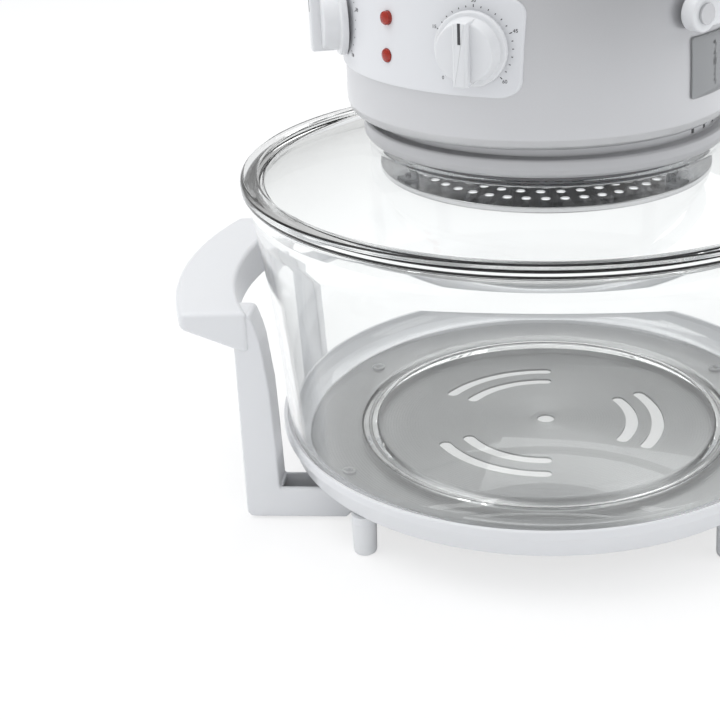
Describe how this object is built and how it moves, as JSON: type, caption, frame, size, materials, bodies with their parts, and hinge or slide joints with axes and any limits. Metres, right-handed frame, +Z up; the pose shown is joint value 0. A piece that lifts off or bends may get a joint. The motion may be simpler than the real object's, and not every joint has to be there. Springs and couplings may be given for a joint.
{
  "type": "halogen oven",
  "caption": "Glass bowl oven in a white stand with side handles; a lift-off glass lid carries a ring lamp, guard, fan, motor, dials and a folding carry handle.",
  "frame": {"origin": "on the table under the axis of the bowl, level with the tips of the foot pegs", "axes": "+Z up along the bowl's axis; the two side handles lie along -X and +X; the controls face the corner between -X and -Y"},
  "size_m": [0.407, 0.3292, 0.306],
  "materials": {
    "white_plastic": "moulded gloss",
    "panel_plastic": "moulded gloss",
    "silver_plastic": "pearl silver gloss",
    "collar_plastic": "moulded gloss",
    "clear_glass": "polished",
    "quartz_glass": "polished",
    "spun_plate": "spun, fine round grooves",
    "bright_steel": "polished",
    "sheet_steel": "zinc plated",
    "screw_steel": "zinc plated",
    "silicone": "matte",
    "tungsten": "drawn wire",
    "ceramic": "unglazed",
    "iron_stack": "laminated",
    "copper_wire": "enamelled wire",
    "bronze": "sintered",
    "dark_plastic": "fine grain",
    "ivory_plastic": "moulded",
    "signal_red": "clear tinted",
    "grille_plastic": "moulded gloss"
  },
  "bodies": {
    "stand": {"stand_ring": "white_plastic", "base_plate": "spun_plate", "left_handle": "white_plastic", "right_handle": "white_plastic", "stand_feet": "white_plastic", "stand_screws": "screw_steel"},
    "bowl": {"glass_bowl": "clear_glass"},
    "lid": {"lid_glass": "clear_glass", "lid_gaskets": "silicone", "head_collar": "collar_plastic", "clamp_ring": "sheet_steel", "clamp_screws": "screw_steel", "reflector": "bright_steel", "heat_shield": "sheet_steel", "lamp_tube": "quartz_glass", "lamp_filament": "tungsten", "lamp_end_caps": "ceramic", "lamp_clips": "sheet_steel", "guard": "bright_steel", "guard_brackets": "bright_steel", "guard_screws": "screw_steel", "motor_stack": "iron_stack", "motor_coil": "copper_wire", "motor_bridges": "sheet_steel", "motor_bearings": "bronze", "motor_spacers": "sheet_steel", "motor_bolts": "screw_steel", "motor_nuts": "screw_steel", "housing": "silver_plastic", "top_cover": "silver_plastic", "cover_screws": "screw_steel", "housing_screws": "screw_steel", "control_panel": "panel_plastic", "timer": "ivory_plastic", "thermostat": "ivory_plastic", "thermostat_probe": "bronze", "control_screws": "screw_steel", "signal_lenses": "signal_red", "signal_lamps": "quartz_glass", "rear_grille": "grille_plastic", "cord_gland": "dark_plastic", "plunger_spring": "screw_steel", "safety_switch": "dark_plastic", "terminal_block": "ivory_plastic", "thermal_cutout": "sheet_steel"},
    "fan": {"hot_air_fan": "sheet_steel", "fan_nut": "screw_steel", "motor_shaft": "bright_steel", "motor_rotor": "iron_stack", "cooling_fan": "ivory_plastic"},
    "timer_dial": {"timer_spindle": "sheet_steel", "timer_knob": "white_plastic"},
    "thermostat_dial": {"thermostat_spindle": "sheet_steel", "thermostat_knob": "white_plastic"},
    "carry_handle": {"carry_handle": "white_plastic", "hinge_pins": "screw_steel", "switch_cam": "dark_plastic"},
    "plunger": {"switch_plunger": "signal_red"}
  },
  "joints": [
    {"name": "bowl_lift", "type": "slide", "parent": "stand", "child": "bowl", "axis": [0, 0, 1], "range_m": [0, 0.12]},
    {"name": "lid_lift", "type": "slide", "parent": "bowl", "child": "lid", "axis": [0, 0, 1], "range_m": [0, 0.12]},
    {"name": "fan_spin", "type": "hinge", "parent": "lid", "child": "fan", "pos_m": [0, 0, 0.22], "axis": [0, 0, 1], "continuous": true},
    {"name": "timer_turn", "type": "hinge", "parent": "lid", "child": "timer_dial", "pos_m": [-0.00354, -0.00354, 0.265], "axis": [0.2924, 0.9563, 0], "range_deg": [0, 300]},
    {"name": "thermostat_turn", "type": "hinge", "parent": "lid", "child": "thermostat_dial", "pos_m": [-0.00354, -0.00354, 0.265], "axis": [0.9563, 0.2924, 0], "range_deg": [0, 270]},
    {"name": "handle_swing", "type": "hinge", "parent": "lid", "child": "carry_handle", "pos_m": [-0.00354, -0.00354, 0.276], "axis": [0.7071, -0.7071, 0], "range_deg": [0, 90]},
    {"name": "plunger_slide", "type": "slide", "parent": "lid", "child": "plunger", "axis": [0, 0, 1], "range_m": [0, 0.003], "deforming": ["plunger_spring"]}
  ],
  "couplings": [
    {"joint": "plunger_slide", "follows": "handle_swing", "m_per_rad": 0.0019099}
  ]
}
